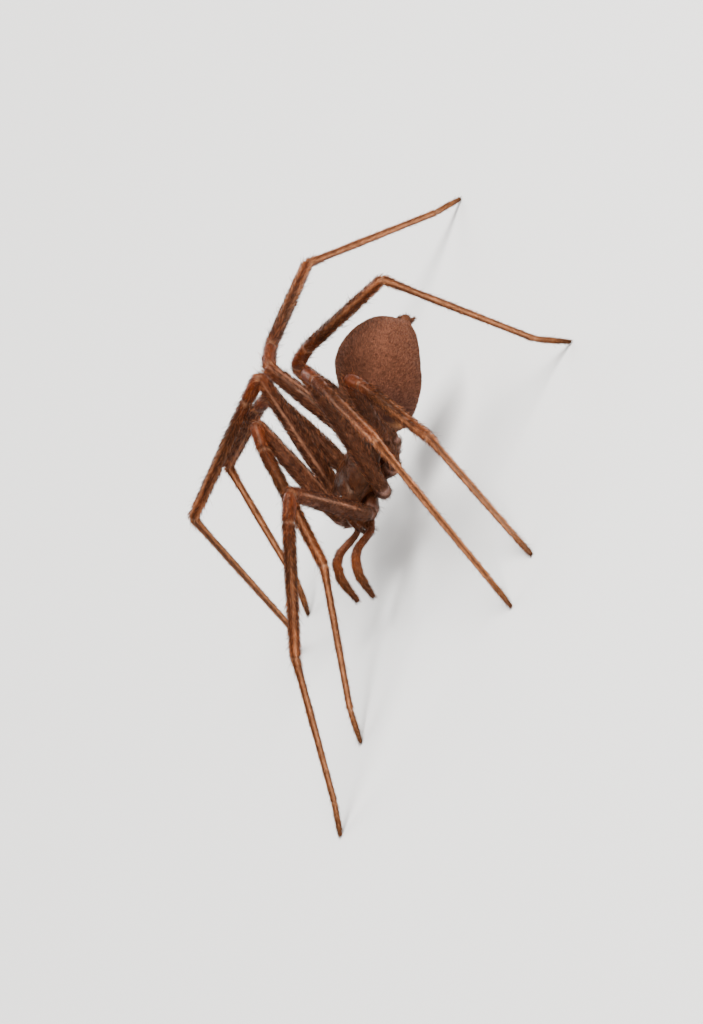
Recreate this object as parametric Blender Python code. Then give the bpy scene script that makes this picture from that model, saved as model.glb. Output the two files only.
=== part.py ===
"""Loxosceles rufipes, an adult female spider at life size, standing high on all eight feet.

Units are metres, +Z is up, the head points to -Y and the spider's left is +X.
"""

import math

import bmesh
import bpy
from mathutils import Vector

MM = 0.001
MODEL_NAME = "loxosceles_rufipes"

# Joints: neighbouring pieces meet face to face across this gap
JOINT_GAP = 0.1 * MM

# Cephalothorax: the centre of the body stands this high over the floor
BODY_HEIGHT = 3.0 * MM
CARAPACE_MARGIN_RISE = 0.2 * MM
CARAPACE_DOME_POWER = 2.3
CARAPACE_POINTS_ROUND = 15
CARAPACE_RINGS = 22
STERNUM_POINTS_ROUND = 4
# y, half width, height over the margin, sternum half width, depth under the margin (mm)
CARAPACE_STATIONS = (
    (-1.80, 0.52, 0.34, 0.30, 0.05),
    (-1.62, 0.80, 0.58, 0.38, 0.06),
    (-1.30, 0.93, 0.72, 0.42, 0.12),
    (-0.90, 1.05, 0.77, 0.62, 0.62),
    (-0.45, 1.32, 0.78, 0.78, 0.74),
    (0.10, 1.49, 0.77, 0.84, 0.78),
    (0.60, 1.47, 0.72, 0.76, 0.76),
    (1.10, 1.26, 0.59, 0.52, 0.64),
    (1.50, 0.90, 0.40, 0.30, 0.42),
    (1.80, 0.42, 0.16, 0.20, 0.26),
)

# Eyes: six, in three touching pairs
EYE_RADIUS = 0.095 * MM
EYE_CUP_GAP = 0.02 * MM
EYE_RISE = 0.3
EYE_PAIR_PLACES = {
    "eyes_front": ((-0.085, -1.60), (0.085, -1.60)),
    "eyes_left": ((0.46, -1.44), (0.53, -1.29)),
    "eyes_right": ((-0.46, -1.44), (-0.53, -1.29)),
}

# Chelicerae and palps: points down one side (mm) and the radius at each
CHELICERA_PATH = ((0.28, -1.56, 2.97), (0.28, -1.74, 2.60), (0.27, -1.88, 2.15), (0.10, -1.86, 1.82))
CHELICERA_RADII = (0.22, 0.245, 0.17, 0.05)
PALP_PATH = (
    (0.43, -1.22, 2.40),
    (0.72, -2.05, 2.25),
    (0.86, -3.05, 2.62),
    (0.88, -3.50, 2.56),
    (0.84, -4.02, 2.18),
    (0.74, -4.52, 1.30),
)
PALP_RADII = (0.14, 0.16, 0.20, 0.21, 0.21, 0.10)

# Waist and abdomen
PEDICEL_RADIUS = 0.2 * MM
PEDICEL_START = Vector((0, 1.9, 3.14)) * MM
ABDOMEN_START = Vector((0, 2.25, 3.28)) * MM
ABDOMEN_LENGTH = 4.55 * MM
ABDOMEN_YAW = math.radians(-8)
ABDOMEN_PITCH = math.radians(8)
ABDOMEN_POINTS_ROUND = 26
ABDOMEN_RINGS = 22
# share of the length, half width, height over the axis, depth under the axis (mm)
ABDOMEN_STATIONS = (
    (0.00, 0.42, 0.30, 0.66),
    (0.05, 0.82, 0.74, 1.08),
    (0.16, 1.24, 1.30, 1.26),
    (0.33, 1.60, 1.84, 1.38),
    (0.52, 1.76, 2.06, 1.44),
    (0.70, 1.62, 1.80, 1.38),
    (0.84, 1.24, 1.32, 1.26),
    (0.94, 0.80, 0.68, 1.10),
    (1.00, 0.34, -0.30, 0.92),
)

# Spinnerets: a low ring and three pairs of cones on it
SPINNERET_RING_RADIUS = 0.29 * MM
SPINNERET_RING_LENGTH = 0.14 * MM
SPINNERET_TILT = math.radians(-32)
# sideways, upwards, root radius, length (mm) of one cone of each pair
SPINNERET_PAIRS = ((0.13, -0.10, 0.115, 0.34), (0.06, 0.04, 0.07, 0.20), (0.13, 0.13, 0.10, 0.28))

# Legs: the ends of the trochanters lie on a ring, by degrees from straight ahead
HIP_RING_RADIUS = 2.0 * MM
HIP_DROP = 0.25 * MM
HIP_BEARING = {1: 35, 2: 70, 3: 105, 4: 145}
COXA_ROOT_RADIUS = {1: 1.0 * MM, 2: 1.0 * MM, 3: 1.0 * MM, 4: 1.02 * MM}
COXA_ROOT_HEIGHT = 2.66 * MM
TROCHANTER_LENGTH = 0.35 * MM
COXA_RADII = (0.23, 0.31, 0.34, 0.30)

# Lengths of femur, patella, tibia, metatarsus and tarsus (mm)
LEG_LENGTHS = {
    1: (5.3, 1.2, 5.4, 6.0, 1.4),
    2: (6.2, 1.2, 5.4, 7.0, 1.5),
    3: (4.7, 1.1, 4.2, 5.6, 1.35),
    4: (5.5, 1.2, 5.1, 6.7, 1.45),
}
# Share of the length and radius (mm), from the near end to the far end
SEGMENT_PROFILES = {
    "femur": ((0.0, 0.30), (0.18, 0.365), (0.45, 0.365), (0.75, 0.315), (1.0, 0.285)),
    "patella": ((0.0, 0.285), (0.5, 0.30), (1.0, 0.275)),
    "tibia": ((0.0, 0.275), (0.3, 0.275), (0.7, 0.255), (1.0, 0.255)),
    "metatarsus": ((0.0, 0.255), (0.35, 0.25), (0.75, 0.225), (1.0, 0.21)),
    "tarsus": ((0.0, 0.21), (0.45, 0.20), (0.8, 0.16), (1.0, 0.115)),
}
FEMUR_BOW = 0.12 * MM
LEG_POINTS_ROUND = 12

# Stance of each leg, in degrees. Heading is measured outwards from straight ahead and
# lean tips the leg's plane back. The others are slopes over the floor, and two small
# turns of the leg's heading, at the knee and at the ankle.
STANCE_COLUMNS = ("heading", "lean", "femur", "patella", "tibia", "tarsus", "knee", "ankle")
STANCE = {
    "left_1": (17, 25, 67, -16, -25, -42, -4, -3),
    "left_2": (74, 28, 81, -5, -19, -56, -5, 2),
    "left_3": (81, 27, 66, -15, -35, -31, -2, -10),
    "left_4": (119, 1, 77, 9, -4, -62, 0, 1),
    "right_1": (-16, 1, 118, -27, -39, -37, -7, 12),
    "right_2": (10, 3, 121, -5, -6, -43, 24, 26),
    "right_3": (74, 34, 75, -5, -16, -62, 2, -14),
    "right_4": (147, -18, 52, 0, -13, -44, 4, 0),
}

# Colours are linear RGB
FINISHES = {
    "carapace": ((0.12, 0.035, 0.014), 0.42),
    "abdomen": ((0.15, 0.062, 0.036), 0.75),
    "leg": ((0.19, 0.052, 0.018), 0.45),
    "dark_leg": ((0.10, 0.030, 0.014), 0.5),
    "membrane": ((0.42, 0.25, 0.17), 0.5),
    "eye": ((0.01, 0.008, 0.007), 0.1),
}


# Shared helpers


def clear_scene():
    for item in list(bpy.data.objects):
        bpy.data.objects.remove(item, do_unlink=True)


def new_collection(name):
    made = bpy.data.collections.new(name)
    bpy.context.scene.collection.children.link(made)
    return made


def make_finish(name):
    colour, roughness = FINISHES[name]
    finish = bpy.data.materials.new(name)
    finish.use_nodes = True
    shader = finish.node_tree.nodes["Principled BSDF"]
    shader.inputs["Base Color"].default_value = (*colour, 1)
    shader.inputs["Roughness"].default_value = roughness
    shader.inputs["Metallic"].default_value = 0
    return finish


def interpolate(stations, at):
    """The values of a table of stations at one place, on a smooth curve through its rows."""
    index = 0
    while index < len(stations) - 2 and at > stations[index + 1][0]:
        index += 1
    before = stations[max(index - 1, 0)]
    start = stations[index]
    end = stations[index + 1]
    after = stations[min(index + 2, len(stations) - 1)]
    span = end[0] - start[0]
    share = (at - start[0]) / span
    values = []
    for column in range(1, len(start)):
        slope_in = (end[column] - before[column]) / (end[0] - before[0]) * span
        slope_out = (after[column] - start[column]) / (after[0] - start[0]) * span
        cubic = 2 * start[column] - 2 * end[column] + slope_in + slope_out
        square = 3 * end[column] - 3 * start[column] - 2 * slope_in - slope_out
        values.append(((cubic * share + square) * share + slope_in) * share + start[column])
    return values


def evenly(first, last, count):
    return [first + (last - first) * step / (count - 1) for step in range(count)]


def eased(first, last, count):
    """Places from first to last that crowd together at both ends."""
    shares = [(1 - math.cos(math.pi * step / (count - 1))) / 2 for step in range(count)]
    return [first + (last - first) * share for share in shares]


def loft(name, rings, finish, root, origin):
    """A closed skin over rings of equal point counts, with a flat cap at each end."""
    mesh = bpy.data.meshes.new(name)
    cage = bmesh.new()
    loops = [[cage.verts.new(point - origin) for point in ring] for ring in rings]
    for near, far in zip(loops, loops[1:]):
        for step in range(len(near)):
            following = (step + 1) % len(near)
            cage.faces.new((near[step], near[following], far[following], far[step]))
    cage.faces.new(list(reversed(loops[0])))
    cage.faces.new(loops[-1])
    bmesh.ops.recalc_face_normals(cage, faces=cage.faces)
    cage.to_mesh(mesh)
    cage.free()
    return place(name, mesh, finish, root, origin)


def place(name, mesh, finish, root, origin):
    mesh.shade_smooth()
    mesh.set_sharp_from_angle(angle=math.radians(40))
    made = bpy.data.objects.new(name, mesh)
    made.location = origin
    made.parent = root
    mesh.materials.append(finish)
    root.users_collection[0].objects.link(made)
    return made


def square_to(direction, hinge):
    """Two unit vectors across a direction: the hinge made square to it, and the one over it."""
    across = (hinge - hinge.dot(direction) * direction).normalized()
    return across, direction.cross(across).normalized()


def round_ring(centre, direction, hinge, radius, stretch=1.0, count=LEG_POINTS_ROUND):
    across, over = square_to(direction, hinge)
    ring = []
    for step in range(count):
        angle = 2 * math.pi * step / count
        aside = across * radius * math.cos(angle)
        ring.append(centre + aside + over * radius * stretch * math.sin(angle))
    return ring


def joint_ring(joint, before, after, hinge, radius, shift):
    """A ring in the plane that halves the bend between two directions, moved along the limb."""
    halfway = (before + after).normalized()
    stretch = max(halfway.dot(after), 0.3) ** -0.5
    return round_ring(joint + halfway * shift, halfway, hinge, radius, stretch)


def bent_limb_rings(points, radii, hinge):
    """Rings along a bent path: square to it at its ends, halving each bend between."""
    ways = [(far - near).normalized() for near, far in zip(points, points[1:])]
    rings = [round_ring(points[0], ways[0], hinge, radii[0])]
    for index in range(1, len(points) - 1):
        rings.append(joint_ring(points[index], ways[index - 1], ways[index], hinge, radii[index], 0))
    rings.append(round_ring(points[-1], ways[-1], hinge, radii[-1]))
    return rings


def join(body, pieces):
    """Fuse closed pieces into a body, keep the result and drop the pieces."""
    together = new_collection("together")
    for piece in pieces:
        together.objects.link(piece)
    fused = body.modifiers.new("fuse", "BOOLEAN")
    fused.operation = "UNION"
    fused.operand_type = "COLLECTION"
    fused.collection = together
    bpy.context.view_layer.update()
    evaluated = body.evaluated_get(bpy.context.evaluated_depsgraph_get())
    joined = bpy.data.meshes.new_from_object(evaluated)
    body.modifiers.clear()
    body.data = joined
    for piece in pieces:
        bpy.data.objects.remove(piece, do_unlink=True)
    bpy.data.collections.remove(together)
    return body


# Cephalothorax, eyes and mouthparts


def carapace_section(y):
    """One ring round the cephalothorax: the dome above, the sternum below."""
    values = interpolate(CARAPACE_STATIONS, y / MM)
    half_width, top, sternum_half, depth = (value * MM for value in values)
    margin = BODY_HEIGHT + CARAPACE_MARGIN_RISE
    ring = []
    for angle in evenly(0, math.pi, CARAPACE_POINTS_ROUND):
        across = math.copysign(abs(math.cos(angle)) ** (2 / CARAPACE_DOME_POWER), math.cos(angle))
        over = abs(math.sin(angle)) ** (2 / CARAPACE_DOME_POWER)
        ring.append(Vector((half_width * across, y, margin + top * over)))
    lip = 0.06 * MM
    ring.append(Vector((-half_width * 0.97, y, margin - lip)))
    ring.append(Vector((-(half_width + sternum_half) / 2, y, margin - lip * 1.4)))
    for angle in evenly(0, math.pi, STERNUM_POINTS_ROUND + 2):
        drop = depth * (0.3 + 0.7 * math.sin(angle))
        ring.append(Vector((-sternum_half * math.cos(angle), y, margin - max(drop, lip * 1.6))))
    ring.append(Vector(((half_width + sternum_half) / 2, y, margin - lip * 1.4)))
    ring.append(Vector((half_width * 0.97, y, margin - lip)))
    return ring


def carapace_top(x, y):
    """Height of the dome over one place."""
    half_width, top, _, _ = interpolate(CARAPACE_STATIONS, y)
    share = max(1 - abs(x / half_width) ** CARAPACE_DOME_POWER, 0) ** (1 / CARAPACE_DOME_POWER)
    return BODY_HEIGHT + CARAPACE_MARGIN_RISE + top * MM * share


def ball_pair(name, places, radius, root, finish):
    """Two balls that touch, part sunk in the dome, joined into one body."""
    balls = []
    for index, (x, y) in enumerate(places):
        mesh = bpy.data.meshes.new(name)
        ball = bmesh.new()
        bmesh.ops.create_icosphere(ball, subdivisions=2, radius=radius)
        ball.to_mesh(mesh)
        ball.free()
        centre = Vector((x * MM, y * MM, carapace_top(x, y) + EYE_RADIUS * EYE_RISE))
        ball_name = name if index == 0 else f"{name}_{index}"
        balls.append(place(ball_name, mesh, finish, root, centre))
    return join(balls[0], balls[1:])


def build_head(root, cutters, finishes):
    front = CARAPACE_STATIONS[0][0] * MM
    rear = CARAPACE_STATIONS[-1][0] * MM
    rings = [carapace_section(y) for y in eased(front, rear, CARAPACE_RINGS)]
    carapace = loft("cephalothorax", rings, finishes["carapace"], root, Vector((0, 0, BODY_HEIGHT)))
    for name, places in EYE_PAIR_PLACES.items():
        ball_pair(name, places, EYE_RADIUS, root, finishes["eye"])
        cup = ball_pair("cup_" + name, places, EYE_RADIUS + EYE_CUP_GAP, cutters, finishes["eye"])
        cup.hide_render = True
        cup.display_type = "WIRE"
        cut = carapace.modifiers.new(cup.name, "BOOLEAN")
        cut.operation = "DIFFERENCE"
        cut.object = cup


def build_mouthparts(root, finishes):
    sideways = Vector((1, 0, 0))
    limbs = (
        ("chelicera", CHELICERA_PATH, CHELICERA_RADII, "carapace"),
        ("palp", PALP_PATH, PALP_RADII, "leg"),
    )
    for kind, path, radii, finish in limbs:
        for side, sign in (("left", 1), ("right", -1)):
            points = [Vector((sign * x, y, z)) * MM for x, y, z in path]
            rings = bent_limb_rings(points, [radius * MM for radius in radii], sideways)
            loft(f"{kind}_{side}", rings, finishes[finish], root, points[0])


# Abdomen


def abdomen_axis():
    level = math.cos(ABDOMEN_PITCH)
    rise = math.sin(ABDOMEN_PITCH)
    return Vector((math.sin(ABDOMEN_YAW) * level, math.cos(ABDOMEN_YAW) * level, rise))


def abdomen_section(share):
    half_width, up, down = (value * MM for value in interpolate(ABDOMEN_STATIONS, share))
    axis = abdomen_axis()
    across, over = square_to(axis, Vector((1, 0, 0)))
    over = -over if over.z < 0 else over
    centre = ABDOMEN_START + axis * ABDOMEN_LENGTH * share + over * (up - down) / 2
    ring = []
    for step in range(ABDOMEN_POINTS_ROUND):
        angle = 2 * math.pi * step / ABDOMEN_POINTS_ROUND
        aside = across * half_width * math.cos(angle)
        ring.append(centre + aside + over * (up + down) / 2 * math.sin(angle))
    return ring


def build_abdomen(root, finishes):
    sideways = Vector((1, 0, 0))
    axis = abdomen_axis()
    rings = [abdomen_section(share) for share in eased(0, 1, ABDOMEN_RINGS)]
    loft("abdomen", rings, finishes["abdomen"], root, ABDOMEN_START)
    pedicel_end = ABDOMEN_START - axis * JOINT_GAP
    forward = (pedicel_end - PEDICEL_START).normalized()
    waist = [
        round_ring(PEDICEL_START, forward, sideways, PEDICEL_RADIUS),
        round_ring(pedicel_end, axis, sideways, PEDICEL_RADIUS),
    ]
    loft("pedicel", waist, finishes["membrane"], root, PEDICEL_START)
    build_spinnerets(root, rings[-1], axis, finishes)


def build_spinnerets(root, seat, axis, finishes):
    """A low ring on the abdomen's end with six tapering cones, joined into one body."""
    sideways = Vector((1, 0, 0))
    middle = sum(seat, Vector((0, 0, 0))) / len(seat)
    across, over = square_to(axis, sideways)
    over = -over if over.z < 0 else over
    start = middle + axis * JOINT_GAP
    shelf = start + axis * SPINNERET_RING_LENGTH
    base = [
        round_ring(start, axis, sideways, SPINNERET_RING_RADIUS),
        round_ring(shelf, axis, sideways, SPINNERET_RING_RADIUS * 0.9),
    ]
    spinnerets = loft("spinnerets", base, finishes["abdomen"], root, start)
    way = (axis * math.cos(SPINNERET_TILT) + over * math.sin(SPINNERET_TILT)).normalized()
    made = []
    for pair, (aside, upward, radius, length) in enumerate(SPINNERET_PAIRS):
        for sign in (1, -1):
            seat_point = start + axis * SPINNERET_RING_LENGTH / 2
            foot = seat_point + (across * aside * sign + over * upward) * MM
            tip = foot + way * (length * MM + SPINNERET_RING_LENGTH / 2)
            rings = [
                round_ring(foot, way, sideways, radius * MM, count=8),
                round_ring(foot.lerp(tip, 0.6), way, sideways, radius * MM * 0.85, count=8),
                round_ring(tip, way, sideways, radius * MM * 0.4, count=8),
            ]
            made.append(loft(f"cone_{pair}_{sign}", rings, finishes["abdomen"], root, foot))
    join(spinnerets, made)


# Legs


def slope_direction(heading, hinge_lean, side, slope):
    """The way a segment points, from the leg's heading, the lean of its plane and its slope."""
    turn = math.radians(heading)
    outward = Vector((side * math.sin(turn), -math.cos(turn), 0))
    rearward = Vector((side * math.cos(turn), math.sin(turn), 0))
    tilt = math.radians(hinge_lean)
    over = Vector((0, 0, math.cos(tilt))) + rearward * math.sin(tilt)
    angle = math.radians(slope)
    return outward * math.cos(angle) + over * math.sin(angle)


def hip_place(pair, side):
    bearing = math.radians(HIP_BEARING[pair])
    out = Vector((side * math.sin(bearing), -math.cos(bearing), 0))
    return out, out * HIP_RING_RADIUS + Vector((0, 0, BODY_HEIGHT - HIP_DROP))


def leg_joints(pair, side, stance):
    """The hip, knee, patella's end, ankle, metatarsus' end and tip of one leg.

    The metatarsus takes the slope that sets the tip of the tarsus on the floor.
    """
    femur, patella, tibia, metatarsus, tarsus = (length * MM for length in LEG_LENGTHS[pair])
    _, hip = hip_place(pair, side)
    lean = stance["lean"]
    upper = stance["heading"]
    middle = upper + stance["knee"]
    lower = middle + stance["ankle"]
    knee = hip + slope_direction(upper, lean, side, stance["femur"]) * femur
    below_knee = knee + slope_direction(middle, lean, side, stance["patella"]) * patella
    ankle = below_knee + slope_direction(middle, lean, side, stance["tibia"]) * tibia
    foot_way = slope_direction(lower, lean, side, stance["tarsus"])
    drop = (ankle.z + foot_way.z * tarsus) / (metatarsus * math.cos(math.radians(lean)))
    shin_way = slope_direction(lower, lean, side, -math.degrees(math.asin(drop)))
    instep = ankle + shin_way * metatarsus
    return [hip, knee, below_knee, ankle, instep, instep + foot_way * tarsus]


def floor_ring(tip, way, hinge, radius):
    """The last ring of a foot, laid flat on the floor."""
    ring = round_ring(tip, way, hinge, radius)
    return [point - way * (point.z / way.z) for point in ring]


def segment_rings(kind, start, end, before, after, hinge):
    """Rings from one joint to the next, with the end faces in the planes that halve the bends."""
    way = (end - start).normalized()
    over = square_to(way, hinge)[1]
    rings = []
    for share, radius in SEGMENT_PROFILES[kind]:
        if share == 0:
            rings.append(joint_ring(start, before, way, hinge, radius * MM, JOINT_GAP / 2))
        elif share < 1:
            bow = FEMUR_BOW * math.sin(math.pi * share) if kind == "femur" else 0
            rings.append(round_ring(start.lerp(end, share) + over * bow, way, hinge, radius * MM))
        elif after is None:
            rings.append(floor_ring(end, way, hinge, radius * MM))
        else:
            rings.append(joint_ring(end, way, after, hinge, radius * MM, -JOINT_GAP / 2))
    return rings


def build_leg(name, root, finishes):
    side_name, number = name.split("_")
    side = 1 if side_name == "left" else -1
    pair = int(number)
    stance = dict(zip(STANCE_COLUMNS, STANCE[name]))
    joints = leg_joints(pair, side, stance)
    ways = [(far - near).normalized() for near, far in zip(joints, joints[1:])]
    hinge = ways[0].cross(ways[2]).normalized()

    out, hip = hip_place(pair, side)
    trochanter_way = (out + ways[0]).normalized()
    coxa_end = hip - trochanter_way * TROCHANTER_LENGTH
    root_point = out * COXA_ROOT_RADIUS[pair] + Vector((0, 0, COXA_ROOT_HEIGHT))
    coxa_way = (coxa_end - root_point).normalized()
    radii = [radius * MM for radius in COXA_RADII]
    coxa = [
        round_ring(root_point, coxa_way, hinge, radii[0]),
        round_ring(root_point.lerp(coxa_end, 0.5), coxa_way, hinge, radii[1]),
        joint_ring(coxa_end, coxa_way, trochanter_way, hinge, radii[2], 0),
        joint_ring(hip, trochanter_way, ways[0], hinge, radii[3], -JOINT_GAP / 2),
    ]
    loft(f"leg_{name}_coxa", coxa, finishes["dark_leg"], root, root_point)

    befores = [trochanter_way] + ways[:-1]
    afters = ways[1:] + [None]
    for index, kind in enumerate(SEGMENT_PROFILES):
        bends = (befores[index], afters[index])
        rings = segment_rings(kind, joints[index], joints[index + 1], *bends, hinge)
        finish = finishes["dark_leg"] if kind == "femur" else finishes["leg"]
        loft(f"leg_{name}_{kind}", rings, finish, root, joints[index])


def centre_over_origin(root):
    """Move the whole spider so that the middle of its box stands on the origin."""
    bpy.context.view_layer.update()
    corners = []
    for part in bpy.data.collections[MODEL_NAME].objects:
        if part.type != "MESH":
            continue
        corners.extend(part.matrix_world @ vertex.co for vertex in part.data.vertices)
    xs = [corner.x for corner in corners]
    ys = [corner.y for corner in corners]
    root.location = (-(min(xs) + max(xs)) / 2, -(min(ys) + max(ys)) / 2, 0)


def main():
    clear_scene()
    parts = new_collection(MODEL_NAME)
    guides = new_collection("guides")
    root = bpy.data.objects.new("stance", None)
    parts.objects.link(root)
    cutters = bpy.data.objects.new("cutters", None)
    guides.objects.link(cutters)
    cutters.parent = root
    finishes = {name: make_finish(name) for name in FINISHES}
    build_head(root, cutters, finishes)
    build_mouthparts(root, finishes)
    build_abdomen(root, finishes)
    for name in STANCE:
        build_leg(name, root, finishes)
    centre_over_origin(root)


main()
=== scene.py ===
# A life-size still spider: skin, coat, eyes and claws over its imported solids. Units are metres.
import math

import bpy
import numpy as np
from mathutils import Matrix, Vector


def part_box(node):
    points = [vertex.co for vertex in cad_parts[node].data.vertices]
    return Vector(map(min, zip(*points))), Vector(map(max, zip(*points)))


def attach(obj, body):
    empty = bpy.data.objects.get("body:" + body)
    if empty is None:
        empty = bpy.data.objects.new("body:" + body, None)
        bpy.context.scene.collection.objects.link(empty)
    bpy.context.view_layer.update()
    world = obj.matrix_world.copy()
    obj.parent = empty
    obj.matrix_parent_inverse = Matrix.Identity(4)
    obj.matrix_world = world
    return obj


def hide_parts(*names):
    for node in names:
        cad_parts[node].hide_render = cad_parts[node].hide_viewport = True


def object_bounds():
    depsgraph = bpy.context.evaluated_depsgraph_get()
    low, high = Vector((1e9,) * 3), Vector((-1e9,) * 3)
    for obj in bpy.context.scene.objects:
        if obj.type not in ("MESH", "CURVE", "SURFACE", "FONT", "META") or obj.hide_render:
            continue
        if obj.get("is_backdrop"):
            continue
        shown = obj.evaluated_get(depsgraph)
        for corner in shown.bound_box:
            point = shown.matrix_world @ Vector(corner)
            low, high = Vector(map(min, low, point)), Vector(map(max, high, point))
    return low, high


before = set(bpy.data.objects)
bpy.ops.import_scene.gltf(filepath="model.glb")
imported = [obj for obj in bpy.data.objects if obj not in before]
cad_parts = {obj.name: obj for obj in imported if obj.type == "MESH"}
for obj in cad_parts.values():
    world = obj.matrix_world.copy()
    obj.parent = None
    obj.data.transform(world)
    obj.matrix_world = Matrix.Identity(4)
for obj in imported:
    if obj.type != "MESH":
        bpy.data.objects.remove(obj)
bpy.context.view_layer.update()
mm = 0.001
legNames = [f"{side}_{pair}" for side in ("left", "right") for pair in (1, 2, 3, 4)]
segments = ("femur", "patella", "tibia", "metatarsus", "tarsus")


def boxOf(name):
    return [np.array(corner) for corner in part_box(name)]


headLow, headHigh = boxOf("cephalothorax")
bodyMiddle = np.array([(headLow[0] + headHigh[0]) / 2, (headLow[1] + headHigh[1]) / 2, 0])


# Small helpers for arrays of vectors

def unit(vectors):
    return vectors / np.maximum(np.linalg.norm(vectors, axis=-1, keepdims=True), 1e-12)


def squareTo(ways, other):
    # the part of another direction that is square to each way, as a unit vector
    return unit(other - (other * ways).sum(-1, keepdims=True) * ways)


def smoothTable(table, at):
    # rows of a place and its values, joined by cubic curves with the slopes of their neighbours
    rows = np.array(table, float)
    places, values = rows[:, 0], rows[:, 1:]
    slopes = np.gradient(values, places, axis=0)
    shape = np.shape(at)
    at = np.clip(np.ravel(at), places[0], places[-1])
    index = np.clip(np.searchsorted(places, at, side="right") - 1, 0, len(places) - 2)
    span = (places[index + 1] - places[index])[:, None]
    t = (at - places[index])[:, None] / span
    start, end = values[index], values[index + 1]
    rise = (slopes[index] * span, slopes[index + 1] * span)
    found = (2 * start - 2 * end + rise[0] + rise[1]) * t ** 3
    found += (3 * end - 3 * start - 2 * rise[0] - rise[1]) * t ** 2 + rise[0] * t + start
    return found.reshape(*shape, values.shape[1])


def straightTable(table, at):
    # rows of a place and one value, joined by straight lines
    places, values = np.transpose(table)
    return np.interp(at, places, values)


def bump(distance, width):
    # 1 at no distance, falling off like a bell
    return np.exp(-(distance / width) ** 2)


def ripple(*phases):
    # a soft uneven value from -1 to 1 out of a few sine waves
    waves = [np.sin(phase + 1.7 * np.sin(phase * 0.37 + order)) for order, phase in enumerate(phases)]
    return sum(waves) / len(waves)


def mix(first, second, share):
    # from one colour to another, by a share at each place
    share = np.asarray(share)[..., None]
    return np.asarray(first) * (1 - share) + np.asarray(second) * share


def turns(count):
    # cosines and sines of even steps round a circle
    angle = 2 * np.pi * np.arange(count) / count
    return np.cos(angle), np.sin(angle)


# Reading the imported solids

def ringsOf(name, pointsRound, near):
    # The points of each ring of a loft, from its end nearest a place. The first ring is the
    # points farthest out on that side, and each next one is what the last one's edges reach.
    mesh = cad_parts[name].data
    raw = np.empty(len(mesh.vertices) * 3)
    mesh.vertices.foreach_get("co", raw)
    pairs = np.empty(len(mesh.edges) * 2, int)
    mesh.edges.foreach_get("vertices", pairs)
    points, index = np.unique(raw.reshape(-1, 3), axis=0, return_inverse=True)
    pairs = index.reshape(-1)[pairs].reshape(-1, 2)
    axis = np.linalg.svd(points - points.mean(0), full_matrices=False)[2][0]
    if (near - points.mean(0)) @ axis > 0:
        axis = -axis
    ring = np.argsort(points @ axis)[:pointsRound]
    seen = np.zeros(len(points), bool)
    rings = []
    while len(ring):
        seen[ring] = True
        rings.append(points[ring])
        reached = np.unique(pairs[np.isin(pairs, ring).any(1)])
        ring = reached[~seen[reached]]
    return rings


def legCorners(name):
    # where the middle line of a leg turns: inside the body, trochanter, hip, knee, patella's
    # end, ankle, metatarsus' end and tip
    ends = []
    near = bodyMiddle + [0, 0, legShape["rootHeight"]]
    for kind in segments:
        rings = ringsOf(f"leg_{name}_{kind}", legShape["solidPointsRound"], near)
        ends.append((rings[0].mean(0), rings[-1].mean(0)))
        near = ends[-1][1]
    hip = ends[0][0]
    joints = [(before[1] + after[0]) / 2 for before, after in zip(ends, ends[1:])]
    outward = unit((hip - bodyMiddle) * [1, 1, 0])
    trochanterWay = unit(outward + unit(joints[0] - hip))
    bend = hip - trochanterWay * legShape["trochanter"]
    root = bodyMiddle + outward * legShape["rootOut"] + [0, 0, legShape["rootHeight"]]
    return np.array([root, bend, hip, *joints, ends[-1][1]])


# Surfaces: each is a dictionary of grids, rows along the piece by columns around it

def roundedPath(corners, bends, step):
    # Places on a line of corners, each corner turned by a parabola: the corner, less the way in
    # times (1-t) squared, plus the way out times t squared. Places crowd towards the corners.
    spans = np.diff(corners, axis=0)
    lengths = np.linalg.norm(spans, axis=1)
    ways = spans / lengths[:, None]
    places, stages, gaps = [], [], []
    for index, length in enumerate(lengths):
        count = max(int(length / step), 7)
        even = np.arange(count + (index == len(lengths) - 1)) / count
        along = length * (even - 0.8 * np.sin(2 * np.pi * even) / (2 * np.pi))
        place = corners[index] + ways[index] * along[:, None]
        for turn, gone in ((index, along), (index + 1, along - length)):
            near = np.abs(gone) < bends[turn]
            if 0 < turn < len(lengths):
                t = 0.5 + gone[near, None] / (2 * bends[turn])
                curve = ways[turn] * t ** 2 - ways[turn - 1] * (1 - t) ** 2
                place[near] = corners[turn] + bends[turn] * curve
        places.append(place)
        stages.append(index + along / length)
        gaps.append(np.where(along < length / 2, along, along - length))
    return np.concatenate(places), np.concatenate(stages), np.concatenate(gaps)


def tube(places, hinge, radius, around, tall=1.0):
    # Rings square to a path: place + radius * (cos angle * across + sin angle * tall * over). On
    # the inner side of a bend the radius is held under the bend's own.
    ways = unit(np.gradient(places, axis=0))
    across = squareTo(ways, hinge)
    over = np.cross(ways, across)
    cos, sin = turns(around)
    out = unit(across[:, None] * cos[:, None] + over[:, None] * sin[:, None] * tall)
    steps = np.linalg.norm(np.gradient(places, axis=0), axis=1)
    turning = np.gradient(ways, axis=0) / steps[:, None]
    inward = np.maximum((out * turning[:, None]).sum(-1), 1e-6)
    radius = np.broadcast_to(radius.reshape(len(places), -1), (len(places), around))
    points = places[:, None] + out * np.minimum(radius, 0.88 / inward)[..., None]
    wide = out.shape[:2]
    return {"points": points, "normals": out, "lies": np.broadcast_to(ways[:, None], out.shape).copy(),
            "cos": np.broadcast_to(cos, wide), "sin": np.broadcast_to(sin, wide)}


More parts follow.
